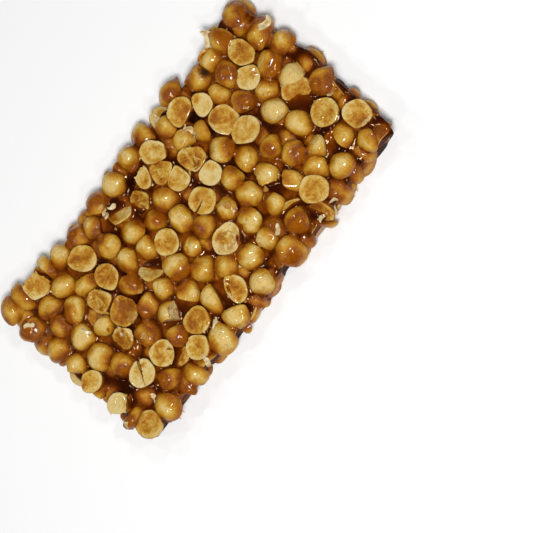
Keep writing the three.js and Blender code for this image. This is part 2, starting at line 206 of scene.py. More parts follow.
def settle(seats):
    at = np.array([seat["at"] for seat in seats], float)
    radius = np.array([seat["radius"] for seat in seats])
    free = np.array([seat["placed"] is None for seat in seats])
    margin = np.array([packing["edge"] + packing["edgeSpread"] * chance(s["number"], "margin") for s in seats])
    for step in range(packing["steps"]):
        gap = at[:, None] - at[None]
        distance = np.linalg.norm(gap, axis=2) + 1e-9
        push = np.maximum((radius[:, None] + radius[None]) * packing["closeness"] - distance, 0)
        np.fill_diagonal(push, 0)
        moved = at + (gap * (push * packing["stiffness"] / distance)[..., None]).sum(1)
        for turn in range(2):
            depth, inward = fromOutline(moved)
            moved += inward * np.maximum(margin - depth, 0)[:, None]
        at[free] = moved[free]
    for seat, place in zip(seats, at):
        seat["at"] = place
    return seats


def tipped(direction, angle):
    return Matrix.Rotation(angle, 4, (math.cos(direction), math.sin(direction), 0))


def attitude(seat, layer):
    number = seat["number"]
    faceUp = Matrix.Rotation(math.pi, 4, "X")
    direction = chance(number, "direction") * 2 * math.pi
    angle = chance(number, "angle")
    if seat["placed"]:
        turn = Matrix.Rotation(math.radians(seat["placed"]["turn"]), 4, "Z")
        laid = turn @ faceUp if seat["placed"]["faceUp"] else turn
        return tipped(direction, between(lying["placed"], angle)) @ laid
    spin = Matrix.Rotation(chance(number, "spin") * 2 * math.pi, 4, "Z")
    depth, inward = fromOutline(seat["at"][None])
    atSide = layer < packing["layers"] - 1 and depth[0] < gram["width"] / 2
    if atSide and chance(number, "broken") < lying["faceOutwards"]["share"]:
        outward = math.atan2(-inward[0][1], -inward[0][0])
        return tipped(outward + math.pi / 2, -between(lying["faceOutwards"], angle)) @ spin
    lie = chance(number, "lie")
    if lie < lying["faceUp"]["share"]:
        return tipped(direction, between(lying["faceUp"], angle)) @ faceUp @ spin
    if lie < lying["faceUp"]["share"] + lying["domeUp"]["share"]:
        return tipped(direction, between(lying["domeUp"], angle)) @ spin
    tip = tipped(direction, between(lying["leaning"], angle))
    return tip @ faceUp @ spin if chance(number, "over") < lying["leaning"]["over"] else tip @ spin


def reachOf(half, matrix, direction):
    local = matrix.to_3x3().transposed() @ Vector(direction)
    return math.hypot(local.x * half[0], local.y * half[1], max(local.z, 0) * half[2])


def layGrams():
    grams = []
    for layer in range(packing["layers"]):
        for seat in settle(seatsOf(layer)):
            number, placed = seat["number"], seat["placed"]
            if placed:
                half = (placed["across"][0] / 2, placed["across"][1] / 2, gram["depth"])
            else:
                stretch = math.sqrt(1 + gram["stretch"] * chance(number, "stretch"))
                depth = gram["depth"] / gram["width"] * 2
                half = [seat["radius"] * share for share in (stretch, 1 / stretch, depth)]
            matrix = attitude(seat, layer)
            up, down = reachOf(half, matrix, (0, 0, 1)), reachOf(half, matrix, (0, 0, -1))
            faceUp = packing["faceSink"] if matrix[2][2] < 0 else 0
            sink = packing["sink"] * chance(number, "sink") ** packing["sinkPower"]
            z = (
                gram["underside"] + sink / 2 + down,
                slab["thickness"] / 2 - (up - down) / 2,
                topAt(seat["at"][None])[0] - sink - faceUp - up,
            )[layer]
            shift = [(reachOf(half, matrix, way) - reachOf(half, matrix, -way)) / 2
                     for way in (Vector((1, 0, 0)), Vector((0, 1, 0)))]
            matrix.translation = (seat["at"][0] - shift[0], seat["at"][1] - shift[1], z)
            grams.append({"number": number, "half": half, "matrix": matrix, "layer": layer,
                          "kind": placed["kind"] if placed else ""})
    return grams


def middleOf(grams):
    middle = []
    for axis in (0, 1):
        ends = []
        for sign in (1, -1):
            direction = [0, 0, 0]
            direction[axis] = sign
            ends.append(max(reachOf(g["half"], g["matrix"], direction) + g["matrix"].translation[axis] * sign
                            for g in grams))
        middle.append((ends[0] - ends[1]) / 2)
    return Vector((*middle, 0))


grams = layGrams()
middle = middleOf(grams)
for one in grams:
    one["matrix"] = Matrix.Translation(-middle) @ one["matrix"]
outline -= np.array(middle[:2])
print("laid", len(grams), "grams, middle", middle[:])

# gram shapes: one half has its flat face on z = 0, a radius of 1 and its crown on z = 1
halfShape = {
    "segments": 24, "rings": 16, "rimRound": 0.11, "faceRings": 4, "faceRing": 0.17, "dish": 0.008, "merge": 0.01,
    "slack": 0.02, "facing": 0.9,  # how far off a plane a face of it may lie, and how squarely it faces along
}
cracking = {
    "at": (0, 0.12, 0), "across": (0.25, 1, 0), "width": 0.035, "depth": 0.13, "slack": 0.002, "below": 0.1,
}
breaking = {
    "rim": 0.05, "hollow": 0.04, "ragged": 0.15, "raggedSize": 5,
    # where each break goes through, and which way it faces
    "bites": [((0.5, 0, 0), (1, 0.35, 0.2)), ((0.45, -0.3, 0), (0.6, -1, 0.1))],
    "chips": [((0.62, 0, 0), (0.7, 0.2, -0.7))],
}
splitting = {  # of each: half the gap, how far it opens and about which point
    "across": (0.35, 1, 0), "ragged": 0.05,
    "heart": (0.015, 0.06, (-0.8, 0, 0)),
    "split": (0.07, 0.06, (0.8, 0, 0)),
}
crumbling = {
    "rings": 7, "ring": 0.12, "below": 0.15, "middle": (0.1, 0),
    # from where to where round the middle, and how far it is pushed in or out
    "steps": [(0, 0.5, -0.1), (0, 0.35, -0.07), (0.5, 0.74, 0.09)],
    "rough": 0.13, "roughSize": 7, "roughTo": 0.85, "rawFrom": 0.4, "rawSide": -0.2,
    "pressed": [((0.1, -0.8, 0), (0.5, -1, 0.4)), ((-0.85, 0, 0), (-1, 0.2, 0.1))],
}


def pick(*pieces):  # selects these alone, with the first one active
    bpy.ops.object.select_all(action="DESELECT")
    for piece in pieces:
        piece.select_set(True)
    if pieces:
        bpy.context.view_layer.objects.active = pieces[0]


def duplicate(piece):
    copy = piece.copy()
    copy.data = piece.data.copy()
    bpy.context.scene.collection.objects.link(copy)
    return copy


def pointsOf(mesh):
    flat = np.empty(len(mesh.vertices) * 3, np.float32)
    mesh.vertices.foreach_get("co", flat)
    return flat.reshape(-1, 3)


def setValues(piece, **values):  # one value for all its points, or one for each
    for name, value in values.items():
        layer = piece.data.attributes.new(name, "FLOAT", "POINT").data
        layer.foreach_set("value", np.full(len(piece.data.vertices), value, np.float32))


def smoothByAngle(piece, degrees):
    pick(piece)
    bpy.ops.object.shade_smooth_by_angle(angle=math.radians(degrees))


def chooseAll():
    bpy.ops.mesh.select_all(action="SELECT")


def move(x, y, z):
    bpy.ops.transform.translate(value=(x, y, z))


def smooth(factor, repeat):
    bpy.ops.mesh.vertices_smooth(factor=factor, repeat=repeat)


def setMode(mode):
    bpy.ops.object.mode_set(mode=mode)


def choose(piece, kind, test):  # in edit mode, picks the points, edges or faces that pass the test
    bpy.ops.mesh.select_mode(type=kind)
    bpy.ops.mesh.select_all(action="DESELECT")
    shape = bmesh.from_edit_mesh(piece.data)
    for item in {"VERT": shape.verts, "EDGE": shape.edges, "FACE": shape.faces}[kind]:
        item.select_set(test(item))
    shape.select_flush_mode()
    bmesh.update_edit_mesh(piece.data)


def mark(piece, name, test):  # gives the faces that pass the test a value of 1 under that name
    shape = bmesh.from_edit_mesh(piece.data)
    layer = shape.faces.layers.float.get(name) or shape.faces.layers.float.new(name)
    for face in shape.faces:
        if test(face):
            face[layer] = 1
    bmesh.update_edit_mesh(piece.data)


def cut(piece, at, outwards):  # leaves the cut face selected
    chooseAll()
    bpy.ops.mesh.bisect(plane_co=at, plane_no=outwards, use_fill=True, clear_outer=True)
    bpy.ops.mesh.remove_doubles(threshold=halfShape["merge"])
    choose(piece, "FACE", onPlane(at, outwards))


def press(piece, at, outwards):  # what stands out over the plane is pressed flat onto it
    normal = Vector(outwards).normalized()
    level = Vector(at).dot(normal)
    choose(piece, "VERT", lambda point: point.co.dot(normal) > level)
    bpy.ops.transform.resize(value=(1, 1, 0), orient_matrix=normal.to_track_quat("Z", "Y").to_matrix(),
                             orient_type="GLOBAL", orient_matrix_type="GLOBAL", center_override=at)


def roughen(piece, amount, size):  # the selected points, each by the noise where it is
    shape = bmesh.from_edit_mesh(piece.data)
    for point in shape.verts:
        if point.select:
            point.co += noise.noise_vector(point.co * size) * amount
    bmesh.update_edit_mesh(piece.data)


def onPlane(at, outwards):
    outwards = Vector(outwards).normalized()
    level = Vector(at).dot(outwards)
    return lambda face: (abs(face.calc_center_median().dot(outwards) - level) < halfShape["slack"]
                         and face.normal.dot(outwards) > halfShape["facing"])


def joinAll(pieces, name):
    pick(*pieces)
    bpy.ops.object.join()
    joined = bpy.context.object
    joined.name = name
    joined.data.name = name
    return joined


def startHalf(name):
    pick()
    bpy.ops.mesh.primitive_uv_sphere_add(segments=halfShape["segments"], ring_count=halfShape["rings"], radius=1)
    half = bpy.context.object
    half.name = name
    setMode("EDIT")
    mark(half, "flat", lambda face: False)
    mark(half, "raw", lambda face: False)
    return half


def addFace(half, rings=halfShape["faceRings"], ring=halfShape["faceRing"]):  # flat, with a rounded rim and a dish
    cut(half, (0, 0, 0), (0, 0, -1))
    bpy.ops.mesh.bevel(offset=halfShape["rimRound"], segments=3, affect="EDGES", clamp_overlap=True)
    choose(half, "FACE", lambda face: len(face.verts) > 4)
    for k in range(rings):
        bpy.ops.mesh.inset(thickness=ring)
        move(0, 0, halfShape["dish"])
    bpy.ops.mesh.poke()
    mark(half, "flat", lambda face: face.normal.z < -0.5)


def endHalf(half):
    chooseAll()
    bpy.ops.mesh.fill_holes(sides=0)
    chooseAll()
    bpy.ops.mesh.quads_convert_to_tris()
    setMode("OBJECT")
    return half


def makePlump(name):  # fuller over the waist than a ball
    half = startHalf(name)
    choose(half, "VERT", lambda point: 0.15 < point.co.z < 0.75)
    bpy.ops.transform.resize(value=(1.05, 1.05, 1))
    smooth(0.4, 2)
    addFace(half)
    return endHalf(half)


def makeCreased(name):  # a shallow furrow over the crown
    half = startHalf(name)
    choose(half, "VERT", lambda point: abs(point.co.y) < 0.12 and point.co.z > 0.1 and point.co.x > -0.5)
    move(-0.03, 0, -0.13)
    choose(half, "VERT", lambda point: abs(point.co.y) < 0.35 and point.co.z > 0.05)
    smooth(0.5, 2)
    addFace(half)
    return endHalf(half)


def makeBoxy(name):  # pressed flat by its neighbours in the pan
    half = startHalf(name)
    for at, outwards in (((0.8, 0, 0), (1, 0.1, 0.25)), ((0, 0.84, 0), (-0.15, 1, 0.2)),
                         ((-0.2, -0.8, 0), (-0.3, -1, 0.3)), ((0, 0, 0.86), (0.12, 0.06, 1))):
        press(half, at, outwards)
    chooseAll()
    smooth(0.5, 2)
    addFace(half)
    return endHalf(half)


def makeBeaked(name):  # the little point of the seed stands out of the rim
    half = startHalf(name)
    choose(half, "VERT", lambda point: point.co.x > 0.9 and abs(point.co.z) < 0.3)
    move(0.16, 0, 0)
    choose(half, "VERT", lambda point: point.co.x > 0.6)
    smooth(0.3, 1)
    addFace(half)
    return endHalf(half)


def makeCracked(name):  # a crack runs over the flat face
    half = startHalf(name)
    addFace(half)
    across = Vector(cracking["across"])
    level = Vector(cracking["at"]).dot(across)
    chooseAll()
    bpy.ops.mesh.bisect(plane_co=cracking["at"], plane_no=across)
    onCrack = lambda point: (abs(point.co.dot(across) - level) < cracking["slack"]
                             and point.co.z < cracking["below"])
    choose(half, "EDGE", lambda edge: all(onCrack(point) for point in edge.verts))
    bpy.ops.mesh.bevel(offset=cracking["width"], segments=2, affect="EDGES")
    choose(half, "VERT", onCrack)
    move(0, 0, cracking["depth"])
    return endHalf(half)


def makeBroken(name, breaks, ragged=breaking["ragged"]):  # pieces have broken off it, and the breaks are raw
    half = startHalf(name)
    addFace(half)
    for at, outwards in breaks:
        cut(half, at, outwards)
    for at, outwards in breaks:
        choose(half, "FACE", onPlane(at, outwards))
        bpy.ops.mesh.inset(thickness=breaking["rim"], use_even_offset=False)
        move(*Vector(outwards).normalized() * -breaking["hollow"])
        bpy.ops.mesh.poke()
        mark(half, "raw", lambda face: face.select)
    for at, outwards in breaks:  # their edges are ragged
        across = Vector(outwards).normalized()
        level = Vector(at).dot(across)
        choose(half, "VERT", lambda point: abs(point.co.dot(across) - level) < halfShape["merge"])
        roughen(half, ragged, breaking["raggedSize"])
    return endHalf(half)


def makeSplit(name, gap, opening, hinge):  # broken right through, with its two pieces a little apart
    across = Vector(splitting["across"])
    parts = []
    for side in (1, -1):
        part = makeBroken(name, [(-across * gap * side, -across * side)], splitting["ragged"])
        pick(part)
        setMode("EDIT")
        chooseAll()
        move(*across * gap * side * 2)
        bpy.ops.transform.rotate(value=-opening * side, orient_axis="Z", center_override=hinge)
        setMode("OBJECT")
        parts.append(part)
    return joinAll(parts, name)


def makeCrumbled(name):  # the face has crumbled: a lump in its middle, a furrow round it and a raw rim
    half = startHalf(name)
    addFace(half, crumbling["rings"], crumbling["ring"])
    onFace = lambda at: at.z < crumbling["below"]
    away = lambda at: (at.xy - Vector(crumbling["middle"])).length
    for inner, outer, deep in crumbling["steps"]:
        choose(half, "VERT", lambda point: onFace(point.co) and inner <= away(point.co) < outer)
        move(0, 0, deep)
    choose(half, "VERT", lambda point: onFace(point.co) and point.co.xy.length < crumbling["roughTo"])
    roughen(half, crumbling["rough"], crumbling["roughSize"])
    isRaw = lambda at: onFace(at) and at.x > crumbling["rawSide"] and at.xy.length > crumbling["rawFrom"]
    mark(half, "raw", lambda face: isRaw(face.calc_center_median()))
    for at, outwards in crumbling["pressed"]:
        press(half, at, outwards)
    return endHalf(half)


def makeWhole(name):  # both halves still together, with the seam on top
    whole = startHalf(name)
    choose(whole, "VERT", lambda point: abs(point.co.x) < 0.14)
    bpy.ops.transform.resize(value=(0.35, 0.95, 0.95))
    return endHalf(whole)


makers = {
    "plumpGrams": makePlump,
    "creasedGrams": makeCreased,
    "boxyGrams": makeBoxy,
    "beakedGrams": makeBeaked,
    "crackedGrams": makeCracked,
    "bittenGrams": lambda name: makeBroken(name, breaking["bites"]),
    "chippedGrams": lambda name: makeBroken(name, breaking["chips"]),
    "wholeGrams": makeWhole,
    "heartGrams": lambda name: makeSplit(name, *splitting["heart"]),
    "splitGrams": lambda name: makeSplit(name, *splitting["split"]),
    "crumbledGrams": makeCrumbled,
}
gramKinds = {name: make(name) for name, make in makers.items()}
print("modelled", len(gramKinds), "kinds of gram")

# which grams show, and of which kind each is
caramel = {
    # inset from the outline, how uneven, height, shares of a lip's reach and rise: the foot, the sides and the top
    "rings": [
        (0.7, 0.5, 0, 0, 0), (0.7, 0.5, 0.55, 0, 0), (1.3, 0, 0.9, 0, 0), (1.3, 0, 5.5, 0.5, 0),
        (1.6, 0, 6.0, 1, 1), (2.2, 0, 6.3, 1, 1), (4.2, 0, 6.3, 0, 0),
    ],
    "sideInset": 1.3,
    "sliver": 0.3,  # a gram that stands out by less stays inside
    "level": 6.3,  # of its top between the grams
    "film": 0.45,  # how far inside a gram's skin the caramel's own surface lies
    "faceFilm": 0.4,  # and how much deeper under a flat face
    "faceFrom": 6, "faceUp": 0.85,  # if that face is this high and faces up this squarely
    "voxel": 0.5,
    "melted": 8,  # rounds of smoothing
    "waveHeight": 0.7,
    "waveSize": 3.5,
    "floodSize": 4.5,
    "floods": [(0.2, 0.22), (0.27, 0.2), (0.34, 0.2)],  # where it ran over the grams: from how much on, how thick
    "pools": [((-40, -8), 6, 0.3), ((-32, -3), 4, 0.25), ((43, -20), 6, 0.3), ((44, 20), 4, 0.3),
              ((40.6, -9.6), 4, 0.2), ((-14, -6), 4, 0.2)],  # middle, radius and share of the fuller places
    # thin crests along the edge: the outline points between which they rise, stay and fall, how far out and up
    "lips": [(47, 48, 51, 54, 2.2, 1.5), (59, 62, 65, 67, 1.6, 1.1), (49, 52, 58, 62, 1.1, 0.6),
             (33, 36, 44, 47, 1.0, 0.4)],
    "lipUneven": (0.8, 0.4),  # share of a lip that always stands out, and share that is drawn
    "pits": [((-2.4, 17.6), 1.3, 2.5), ((19.3, 15.4), 1.3, 2.5)],  # middle, radius, depth of the open holes
    "pitShare": 0.75, "pitShade": 3,  # how near the grams come to a hole, and how much painted shade darkens it
    "foot": 0.25,  # what is lower than this lies flat on the tray
    "wavesFrom": 4, "wavesFull": 0.8,  # how high it waves, and how far from the grams it waves in full
    "floodsFrom": 5, "floodsOver": 2,
    "low": (8.3, 2), "under": (3.5, 1.5),  # painted shade darkens it in the gaps between these heights, and over how much
    "steep": (0.45, 0.3),  # how far up a steep side still faces, and over how much that is eased
}
peeking = {"near": 1.2, "ways": 12, "away": (0.7, 0.3), "hidden": 0.95}  # in shares of the grams' widths
kindShares = [("plumpGrams", 0.4), ("creasedGrams", 0.14), ("boxyGrams", 0.17), ("beakedGrams", 0.13),
              ("chippedGrams", 0.08), ("bittenGrams", 0.08)]
specialKinds = {"cracked": "crackedGrams", "bitten": "bittenGrams", "heart": "heartGrams", "split": "splitGrams",
                "crumbled": "crumbledGrams", "whole": "wholeGrams", "burnt": "plumpGrams"}


def peeks(one):  # part of its crown lies between the grams above
    at = one["matrix"].translation
    above = [other for other in grams if other["layer"] > one["layer"]
             and math.dist(other["matrix"].translation[:2], at[:2]) < gram["width"] * peeking["near"]]
    for k in range(peeking["ways"]):
        turn, away = k * math.pi * 2 / peeking["ways"], one["half"][0] * peeking["away"][k % 2]
        x, y = at.x + away * math.cos(turn), at.y + away * math.sin(turn)
        if all(math.dist(other["matrix"].translation[:2], (x, y)) > other["half"][0] * peeking["hidden"]
               for other in above):
            return True
    return False


def shows(one):
    at = one["matrix"].translation
    if at.z + reachOf(one["half"], one["matrix"], (0, 0, 1)) > caramel["level"] + caramel["sliver"] and peeks(one):
        return True
    depth, inward = fromOutline(np.array([[at.x, at.y]]))
    outward = (-inward[0][0], -inward[0][1], 0)
    return reachOf(one["half"], one["matrix"], outward) - depth[0] > caramel["sliver"] - caramel["sideInset"]


def kindOf(one):
    if one["kind"] in specialKinds:
        return specialKinds[one["kind"]]
    if one["number"] <= len(placedGrams):
        return "beakedGrams" if one["number"] % 3 == 0 else "plumpGrams"
    share = ownDraw(one, 0)
    for kind, part in kindShares:
        share -= part
        if share < 0:
            return kind
    return "plumpGrams"


gramSkin = {
    # its own shape, in shares of its half width
    "lumps": 0.1, "lumpSize": 1.0, "lumpHeight": 0.5, "wrinkles": 0.02, "wrinkleSize": 4.2,
    "seeds": (7.31, 3.17, 1.13),
    "presses": 3, "pressTurn": 6.28, "pressFrom": 0.78, "pressTo": 1.0, "pressed": 0.75,
    # how it meets its neighbours: distances in millimetres, and shares of what runs over
    "bodyMiddle": 0.35, "gap": -0.1, "faceGap": 0.3, "nearest": 9, "rounding": 0.5, "givesWay": 0.85,
    "faceShare": 0.2, "facesUp": -0.5,
    "plump": (1.06, 1.06, 1.02),  # how much fuller the upper grams are that have no place of their own
    # how far any gram reaches each way, so that the piece keeps its size
    "farthest": {(0, 0, 1): 9.8, (1, 0, 0): 50.5, (-1, 0, 0): 50.7, (0, 1, 0): 27.2, (0, -1, 0): 27.3},
    "smoothUnder": 38,  # degrees
    "paleKinds": ["pale", "bitten", "heart", "crumbled"],
}
for one in grams:
    if one["number"] > len(placedGrams) and one["layer"]:
        one["half"] = [half * more for half, more in zip(one["half"], gramSkin["plump"])]


def isFaceUp(one):
    return one["matrix"][2][2] < gramSkin["facesUp"]


def keepInside(one):  # the planes that no part of it passes
    for way, reach in gramSkin["farthest"].items():
        one["planes"].append((np.array(way), reach - one["centre"].dot(way)))
    for (x, y), radius, depth in caramel["pits"]:
        way = Vector((x, y, one["centre"].z)) - middle - one["centre"]
        if way.length < gramSkin["nearest"]:
            one["planes"].append((np.array(way.normalized()), way.length - radius * caramel["pitShare"]))


def meetNeighbours():  # where two grams would run into each other they give way, up to a plane between them
    for one in grams:
        one["centre"] = one["matrix"] @ Vector((0, 0, one["half"][2] * gramSkin["bodyMiddle"]))
        one["planes"] = []
        keepInside(one)
    for k, first in enumerate(grams):
        for second in grams[:k]:
            apart = second["centre"] - first["centre"]
            if apart.length > gramSkin["nearest"]:
                continue
            share, gap = 0.5, gramSkin["gap"]  # of the overlap, for the first of the two
            if isFaceUp(first) != isFaceUp(second):  # a flat face keeps its round rim
                share = gramSkin["faceShare"] if isFaceUp(first) else 1 - gramSkin["faceShare"]
            elif isFaceUp(first):  # and two of them stay apart
                gap = gramSkin["faceGap"]
            reaches = []
            for one, way in ((first, apart.normalized()), (second, -apart.normalized())):
                middleToFace = (one["centre"] - one["matrix"].translation).dot(way)
                reaches.append((one, way, reachOf(one["half"], one["matrix"], way) - middleToFace))
            over = reaches[0][2] + reaches[1][2] + gap - apart.length
            if over > 0:
                for (one, way, reach), part in zip(reaches, (share, 1 - share)):
                    one["planes"].append((np.array(way), reach - over * part))


meetNeighbours()


def copyGram(shape, one):
    copy = duplicate(shape)
    points = pointsOf(copy.data)
    spread = np.hypot(points[:, 0], points[:, 1])
    for k in range(gramSkin["presses"]):  # where its neighbours pressed on it in the pan
        turn, slant, near = (ownDraw(one, 4 + k * 3 + i) for i in range(3))
        normal = np.array((math.cos(turn * gramSkin["pressTurn"]), math.sin(turn * gramSkin["pressTurn"]), slant))
        normal /= np.linalg.norm(normal)
        level = gramSkin["pressFrom"] + (gramSkin["pressTo"] - gramSkin["pressFrom"]) * near
        over = np.maximum(points @ normal - level, 0)
        points -= (over * gramSkin["pressed"])[:, None] * normal
    seed = Vector([one["number"] * step for step in gramSkin["seeds"]])
    for point in points:
        at = Vector(point)
        lump = noise.noise_vector(at * gramSkin["lumpSize"] + seed) * gramSkin["lumps"]
        wrinkle = noise.noise_vector(at * gramSkin["wrinkleSize"] + seed) * gramSkin["wrinkles"]
        lump.z *= gramSkin["lumpHeight"]
        point += lump + wrinkle
    bite = bites.get(one["number"] - 1)
    turn = 0
    if bite is not None:
        turn = placedGrams[one["number"] - 1]["turn"] - bite  # laid face up, its own turn is mirrored
    size = Matrix.Diagonal((*one["half"], 1))
    place = np.array(one["matrix"] @ size @ Matrix.Rotation(math.radians(turn), 4, "Z"))
    points = points @ place[:3, :3].T + place[:3, 3]
    for outwards, level in one["planes"]:
        over = (points - np.array(one["centre"])) @ outwards - level
        over = (over + np.sqrt(over**2 + gramSkin["rounding"] ** 2)) / 2  # eased in before the plane
        points -= (over * gramSkin["givesWay"])[:, None] * outwards
    copy.data.vertices.foreach_set("co", (points * mm).astype(np.float32).ravel())
    setValues(copy, spread=spread, own=ownDraw(one, 1), pale=one["kind"] in gramSkin["paleKinds"],
              burnt=one["kind"] == "burnt", wet=one["kind"] == "wet")
    return copy


gramPieces = []
for kind, shape in gramKinds.items():
    seen = [copyGram(shape, one) for one in grams if kindOf(one) == kind and shows(one)]
    if seen:
        gramPieces.append(joinAll(seen, kind))
        print(kind, len(seen), "copies,", len(gramPieces[-1].data.polygons), "triangles")
hidden = joinAll([copyGram(gramKinds["plumpGrams"], one) for one in grams if not shows(one)], "hidden")
for shape in gramKinds.values():
    bpy.data.objects.remove(shape)
for piece in gramPieces:
    piece.name = piece.name.split(".")[0]

# caramel: a slab with the grams' own bodies in it, melted together
def lipAt(k):
    out = up = 0
    for first, full, until, last, most, rise in caramel["lips"]:
        for point in (k, k + len(outline)):
            share = max(0, min(1, (point - first) / (full - first), (last - point) / (last - until)))
            always, drawn = caramel["lipUneven"]
            out, up = max(out, most * share * (always + drawn * draw(k + 200))), max(up, rise * share)
    return out, up


def makeCore():
    pick()
    bpy.ops.mesh.primitive_circle_add(vertices=len(outline), radius=1, fill_type="NGON")
    core = bpy.context.object
    setMode("EDIT")
    before = np.roll(outline, 1, 0)
    along = np.roll(outline, -1, 0) - before
    along /= np.linalg.norm(along, axis=1)[:, None]
    inward = np.stack([-along[:, 1], along[:, 0]], 1)
    for level, (inset, uneven, z, lipOut, lipUp) in enumerate(caramel["rings"]):
        if level:
            bpy.ops.mesh.extrude_region_move()
        shape = bmesh.from_edit_mesh(core.data)
        ring = [point for point in shape.verts if point.select]
        for k, point in enumerate(ring):
            out, up = lipAt(k)
            amount = inset + uneven * (2 * draw(k) - 1) - out * lipOut
            point.co = Vector((*(outline[k] + inward[k] * amount), z + up * lipUp)) * mm
        bmesh.update_edit_mesh(core.data)
    chooseAll()
    bpy.ops.mesh.normals_make_consistent(inside=False)
    setMode("OBJECT")
    return core


def floodAt(point):
    high = min(1, max(0, point.z - caramel["floodsFrom"]) / caramel["floodsOver"])
    share = noise.noise(point / caramel["floodSize"]) * high
    for (x, y), radius, more in caramel["pools"]:
        away = ((point.x + middle.x - x) ** 2 + (point.y + middle.y - y) ** 2) / radius**2
        share += more * max(0, 1 - away)
    return share


def finishWith(piece, kind, **settings):  # adds a modifier and applies it
    modifier = piece.modifiers.new(kind.lower(), kind)
    for key, value in settings.items():
        setattr(modifier, key, value)
    bpy.context.view_layer.objects.active = piece
    bpy.ops.object.modifier_apply(modifier=modifier.name)


bodies = joinAll([duplicate(piece) for piece in gramPieces + [hidden]], "bodies")
gramTree = BVHTree.FromPolygons([point.co for point in bodies.data.vertices],
                                [face.vertices[:] for face in bodies.data.polygons])
setMode("EDIT")
flatLayer = bmesh.from_edit_mesh(bodies.data).faces.layers.float["flat"]
chooseAll()
bpy.ops.transform.shrink_fatten(value=-caramel["film"] * mm)
choose(bodies, "FACE", lambda face: face.normal.z > caramel["faceUp"] and face[flatLayer] > 0.5
       and face.calc_center_median().z > caramel["faceFrom"] * mm)
move(0, 0, -caramel["faceFilm"] * mm)
for share, thick in caramel["floods"]:
    choose(bodies, "VERT", lambda point: floodAt(point.co / mm) > share
           and not any(face[flatLayer] > 0.5 for face in point.link_faces))
    bpy.ops.transform.shrink_fatten(value=thick * mm)
setMode("OBJECT")
bpy.data.objects.remove(hidden)
caramelPiece = joinAll([makeCore(), bodies], "caramel")
finishWith(caramelPiece, "REMESH", mode="VOXEL", voxel_size=caramel["voxel"] * mm, use_smooth_shade=True)
finishWith(caramelPiece, "SMOOTH", factor=0.5, iterations=caramel["melted"])
print("caramel", len(caramelPiece.data.vertices), "points")


def finishCaramel():  # waves between the grams, open holes, a flat foot, the depth over the grams, and painted shade in the gaps and holes
    mesh = caramelPiece.data
    points = pointsOf(mesh) / mm
    cover = np.empty(len(points), np.float32)
    for k, point in enumerate(points):
        place, normal, face, distance = gramTree.find_nearest(Vector(point) * mm)
        outside = (Vector(point) * mm - place).dot(normal) > 0
        cover[k] = distance / mm if outside else 0
        if point[2] < caramel["foot"]:
            point[2] = 0
        elif point[2] > caramel["wavesFrom"]:
            wave = noise.noise(Vector(point) / caramel["waveSize"]) * caramel["waveHeight"]
            point[2] += wave * min(1, cover[k] / caramel["wavesFull"])
    for (x, y), radius, depth in caramel["pits"]:
        distance = np.hypot(points[:, 0] + middle.x - x, points[:, 1] + middle.y - y) / radius
        near = (distance < 1) & (points[:, 2] > caramel["wavesFrom"])
        points[near, 2] -= depth * (1 - distance[near] ** 2)
        # painted shade: the caramel in a hole is coloured as if it lay much deeper
        cover[near] += caramel["pitShade"] * (1 - distance[near] ** 2)
    # painted shade: the caramel is coloured darker where it lies low in the gaps between the grams
    (low, lowOver), (under, underOver), (steep, steepOver) = (caramel[name] for name in ("low", "under", "steep"))
    gap = np.clip((low - points[:, 2]) / lowOver, 0, 1) * np.clip((points[:, 2] - under) / underOver, 0, 1)
    mesh.vertices.foreach_set("co", (points * mm).astype(np.float32).ravel())
    mesh.update()
    steepness = [max(0, min(1, (steep - normal.vector.z) / steepOver)) for normal in mesh.vertex_normals]
    setValues(caramelPiece, gap=gap, cover=cover, steep=steepness)


finishCaramel()
caramelPoints = [point.co for point in caramelPiece.data.vertices]
caramelFaces = [face.vertices[:] for face in caramelPiece.data.polygons]
caramelTree = BVHTree.FromPolygons(caramelPoints, caramelFaces)
covers = np.array([value.value for value in caramelPiece.data.attributes["cover"].data])
freeTree = BVHTree.FromPolygons(caramelPoints, [face for face in caramelFaces if covers[list(face)].min() > 0])
for piece in gramPieces:
    smoothByAngle(piece, gramSkin["smoothUnder"])
    # from the caramel that isn't inside a gram
    setValues(piece, high=[freeTree.find_nearest(point.co)[3] / mm for point in piece.data.vertices])
print("measured how far the grams stand out")

# papery skin flakes and crumbs that stick to the top
flakes = {
    "corners": 18, "width": 0.42, "uneven": 0.1, "rim": 0.06,
    # the ends curl up: from how far from the middle on, and by how much more, in shares of the length
    "curl": [(0.08, 0.03), (0.16, 0.05), (0.24, 0.07), (0.34, 0.07), (0.42, 0.06)],
    "thickness": 0.07, "bend": 0.3, "bendSize": 1.8, "lean": 0.5, "lift": 0.14, "highest": 9.75, "held": 0.85,
    "smoothUnder": 35,  # degrees
    "places": [  # x, y, length, turn
        (17.0, 12.5, 3.4, 20), (16.0, 14.6, 2.2, 100), (-12.3, 18.0, 3.0, 70), (-9.8, 18.0, 2.2, 10),
        (-37.0, 3.4, 2.6, 60), (12.4, -17.8, 2.6, 60), (-0.4, -16.4, 2.4, 40), (24.8, -24.6, 4.2, 10),
        (21.5, -24.4, 2.6, 150), (36.1, 23.8, 5.6, -5), (13.4, 22.8, 3.2, 10), (-44.8, 15.4, 2.6, 60),
        (-38.6, -19.6, 2.4, 40), (-14.2, -20.0, 3.2, -70), (-22.5, -24.6, 3.2, 5), (45.6, -8.0, 3.0, 0),
        (-47.2, -18.6, 2.4, 0), (-31.0, -3.2, 2.0, -30), (8.9, -7.0, 1.8, 40), (29.8, 6.0, 1.6, 0),
        (47.0, 14.4, 4.0, 80),
    ],
}
